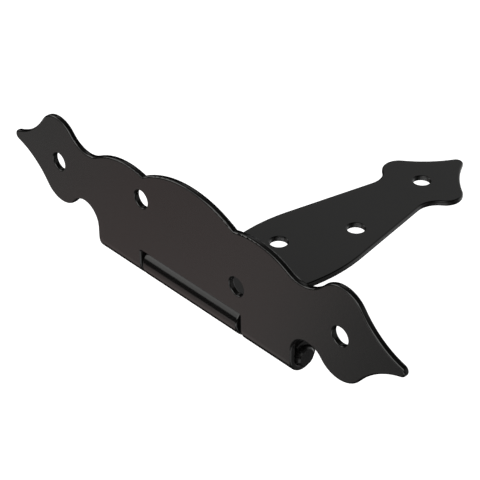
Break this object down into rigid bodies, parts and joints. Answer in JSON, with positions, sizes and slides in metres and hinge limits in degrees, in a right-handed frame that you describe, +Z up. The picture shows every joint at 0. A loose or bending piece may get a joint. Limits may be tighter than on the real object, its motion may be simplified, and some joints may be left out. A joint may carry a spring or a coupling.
{
  "type": "tee hinge",
  "caption": "Ornamental tee hinge for a gate or door: a scalloped cross leaf and a long spade-ended strap leaf on one pin.",
  "frame": {"origin": "midway between the two end screw holes of the cross leaf, on its mounting face", "axes": "+X along the pin, +Y out of the cross leaf's mounting face towards the strap and the barrel, +Z up the cross leaf away from the pin"},
  "size_m": [0.1768, 0.1277, 0.0444],
  "materials": {
    "leaf_powder_coat": "smooth satin black powder coat on sheet steel",
    "pin_powder_coat": "satin black powder coat on a steel rod"
  },
  "bodies": {
    "post_side": {"cross_leaf": "leaf_powder_coat", "hinge_pin": "pin_powder_coat"},
    "gate_side": {"strap_leaf": "leaf_powder_coat"}
  },
  "joints": [
    {"name": "strap_swing", "type": "hinge", "parent": "post_side", "child": "gate_side", "pos_m": [0, 0.00522, -0.0201], "axis": [1, 0, 0], "range_deg": [-90, 90]}
  ]
}
